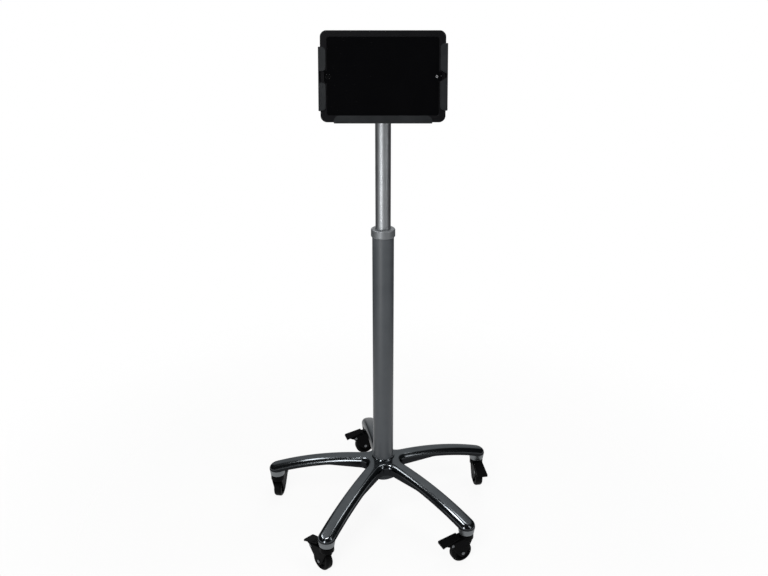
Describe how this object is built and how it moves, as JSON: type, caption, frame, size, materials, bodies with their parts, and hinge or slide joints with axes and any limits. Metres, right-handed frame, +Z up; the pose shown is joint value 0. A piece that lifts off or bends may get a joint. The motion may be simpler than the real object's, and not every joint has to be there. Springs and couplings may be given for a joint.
{
  "type": "rolling tablet stand",
  "caption": "Floor stand on a braked caster star base, with a telescoping column and a tilting, rotating cradle that holds a cased tablet.",
  "frame": {"origin": "point of the floor under the column's axis", "axes": "+Z up along the column, -Y toward the person who faces the screen, +X to that person's right"},
  "size_m": [0.5513, 0.5456, 1.1537],
  "materials": {
    "cast_alloy": "polished casting",
    "column_paint": "satin slate grey powder coat",
    "collar_grey": "satin mid grey paint",
    "bearing_nylon": "moulded nylon",
    "bright_steel": "zinc plated",
    "spring_steel": "spring temper",
    "black_steel": "black oxide",
    "satin_aluminium": "satin anodised tube",
    "black_paint": "fine textured black powder coat",
    "friction_plastic": "moulded washer",
    "cradle_paint": "satin dark grey powder coat on folded sheet",
    "pad_rubber": "matte",
    "case_plastic": "fine spark texture",
    "tablet_metal": "bead blasted",
    "screen_glass": "polished, screen off",
    "button_plastic": "gloss",
    "lens_glass": "polished",
    "fork_plastic": "moulded nylon",
    "lever_plastic": "moulded nylon with tread ribs",
    "rivet_steel": "zinc plated, domed",
    "tread_rubber": "solid tread"
  },
  "bodies": {
    "base": {"star_base": "cast_alloy", "outer_column": "column_paint", "column_collar": "collar_grey", "collar_bush": "bearing_nylon", "collar_clamp_screw": "black_steel", "column_foot_plug": "bright_steel", "column_bolt": "bright_steel", "column_washer": "bright_steel", "caster_stems": "bright_steel", "stem_grip_rings": "spring_steel", "swivel_washers": "friction_plastic"},
    "mast": {"inner_column": "satin_aluminium", "lower_guide_ring": "bearing_nylon", "neck_clevis": "black_paint", "neck_set_screws": "black_steel", "tilt_pin": "bright_steel", "tilt_washers": "bright_steel", "tilt_nut": "bright_steel"},
    "tilt_head": {"tilt_knuckle": "black_paint", "rotation_spindle": "bright_steel", "rotation_washer": "friction_plastic"},
    "cradle_body": {"rotation_plate": "black_paint", "cradle": "cradle_paint", "cradle_screws": "bright_steel", "cradle_pads": "pad_rubber"},
    "tablet": {"case_back_shell": "case_plastic", "case_front_frame": "case_plastic", "tablet_housing": "tablet_metal", "tablet_glass": "screen_glass", "camera_lens": "lens_glass"},
    "button": {"home_button": "button_plastic"},
    "caster_1": {"caster_fork_1": "fork_plastic", "caster_rivets_1": "rivet_steel"},
    "wheel_1": {"wheel_core_1": "fork_plastic", "wheel_tread_1": "tread_rubber"},
    "brake_1": {"brake_lever_1": "lever_plastic"},
    "caster_2": {"caster_fork_2": "fork_plastic", "caster_rivets_2": "rivet_steel"},
    "wheel_2": {"wheel_core_2": "fork_plastic", "wheel_tread_2": "tread_rubber"},
    "brake_2": {"brake_lever_2": "lever_plastic"},
    "caster_3": {"caster_fork_3": "fork_plastic", "caster_rivets_3": "rivet_steel"},
    "wheel_3": {"wheel_core_3": "fork_plastic", "wheel_tread_3": "tread_rubber"},
    "brake_3": {"brake_lever_3": "lever_plastic"},
    "caster_4": {"caster_fork_4": "fork_plastic", "caster_rivets_4": "rivet_steel"},
    "wheel_4": {"wheel_core_4": "fork_plastic", "wheel_tread_4": "tread_rubber"},
    "brake_4": {"brake_lever_4": "lever_plastic"},
    "caster_5": {"caster_fork_5": "fork_plastic", "caster_rivets_5": "rivet_steel"},
    "wheel_5": {"wheel_core_5": "fork_plastic", "wheel_tread_5": "tread_rubber"},
    "brake_5": {"brake_lever_5": "lever_plastic"}
  },
  "joints": [
    {"name": "mast_slide", "type": "slide", "parent": "base", "child": "mast", "axis": [0, 0, 1], "range_m": [-0.2, 0.2]},
    {"name": "head_tilt", "type": "hinge", "parent": "mast", "child": "tilt_head", "pos_m": [0, 0, 1.055], "axis": [1, 0, 0], "range_deg": [-45, 13]},
    {"name": "head_rotation", "type": "hinge", "parent": "tilt_head", "child": "cradle_body", "pos_m": [0, -0.0266, 1.06114], "axis": [0, -0.9744, 0.225], "range_deg": [-90, 90]},
    {"name": "tablet_slide", "type": "slide", "parent": "cradle_body", "child": "tablet", "axis": [0, 0.225, 0.9744], "range_m": [0, 0.19]},
    {"name": "home_press", "type": "slide", "parent": "tablet", "child": "button", "axis": [0, 0.9744, -0.225], "range_m": [0, 0.0005], "stiffness_N_per_m": 2000},
    {"name": "swivel_1", "type": "hinge", "parent": "base", "child": "caster_1", "pos_m": [0.24184, 0.12005, 0.07], "axis": [0, 0, 1], "continuous": true},
    {"name": "wheel_spin_1", "type": "hinge", "parent": "caster_1", "child": "wheel_1", "pos_m": [0.24403, 0.10622, 0.025], "axis": [0.9877, 0.1564, 0], "continuous": true},
    {"name": "brake_press_1", "type": "hinge", "parent": "caster_1", "child": "brake_1", "pos_m": [0.24826, 0.07956, 0.0525], "axis": [0.9877, 0.1564, 0], "range_deg": [0, 22]},
    {"name": "swivel_2", "type": "hinge", "parent": "base", "child": "caster_2", "pos_m": [-0.03944, 0.2671, 0.07], "axis": [0, 0, 1], "continuous": true},
    {"name": "wheel_spin_2", "type": "hinge", "parent": "caster_2", "child": "wheel_2", "pos_m": [-0.05276, 0.26278, 0.025], "axis": [0.309, -0.9511, 0], "continuous": true},
    {"name": "brake_press_2", "type": "hinge", "parent": "caster_2", "child": "brake_2", "pos_m": [-0.07844, 0.25443, 0.0525], "axis": [0.309, -0.9511, 0], "range_deg": [0, 22]},
    {"name": "swivel_3", "type": "hinge", "parent": "base", "child": "caster_3", "pos_m": [-0.26622, 0.04503, 0.07], "axis": [0, 0, 1], "continuous": true},
    {"name": "wheel_spin_3", "type": "hinge", "parent": "caster_3", "child": "wheel_3", "pos_m": [-0.26379, 0.05881, 0.025], "axis": [-0.9848, 0.1736, 0], "continuous": true},
    {"name": "brake_press_3", "type": "hinge", "parent": "caster_3", "child": "brake_3", "pos_m": [-0.2591, 0.0854, 0.0525], "axis": [-0.9848, 0.1736, 0], "range_deg": [0, 22]},
    {"name": "swivel_4", "type": "hinge", "parent": "base", "child": "caster_4", "pos_m": [-0.12509, -0.23927, 0.07], "axis": [0, 0, 1], "continuous": true},
    {"name": "wheel_spin_4", "type": "hinge", "parent": "caster_4", "child": "wheel_4", "pos_m": [-0.13481, -0.2292, 0.025], "axis": [-0.7193, -0.6947, 0], "continuous": true},
    {"name": "brake_press_4", "type": "hinge", "parent": "caster_4", "child": "brake_4", "pos_m": [-0.15357, -0.20978, 0.0525], "axis": [-0.7193, -0.6947, 0], "range_deg": [0, 22]},
    {"name": "swivel_5", "type": "hinge", "parent": "base", "child": "caster_5", "pos_m": [0.18891, -0.19291, 0.07], "axis": [0, 0, 1], "continuous": true},
    {"name": "wheel_spin_5", "type": "hinge", "parent": "caster_5", "child": "wheel_5", "pos_m": [0.17622, -0.19882, 0.025], "axis": [0.4226, -0.9063, 0], "continuous": true},
    {"name": "brake_press_5", "type": "hinge", "parent": "caster_5", "child": "brake_5", "pos_m": [0.15175, -0.21024, 0.0525], "axis": [0.4226, -0.9063, 0], "range_deg": [0, 22]}
  ]
}
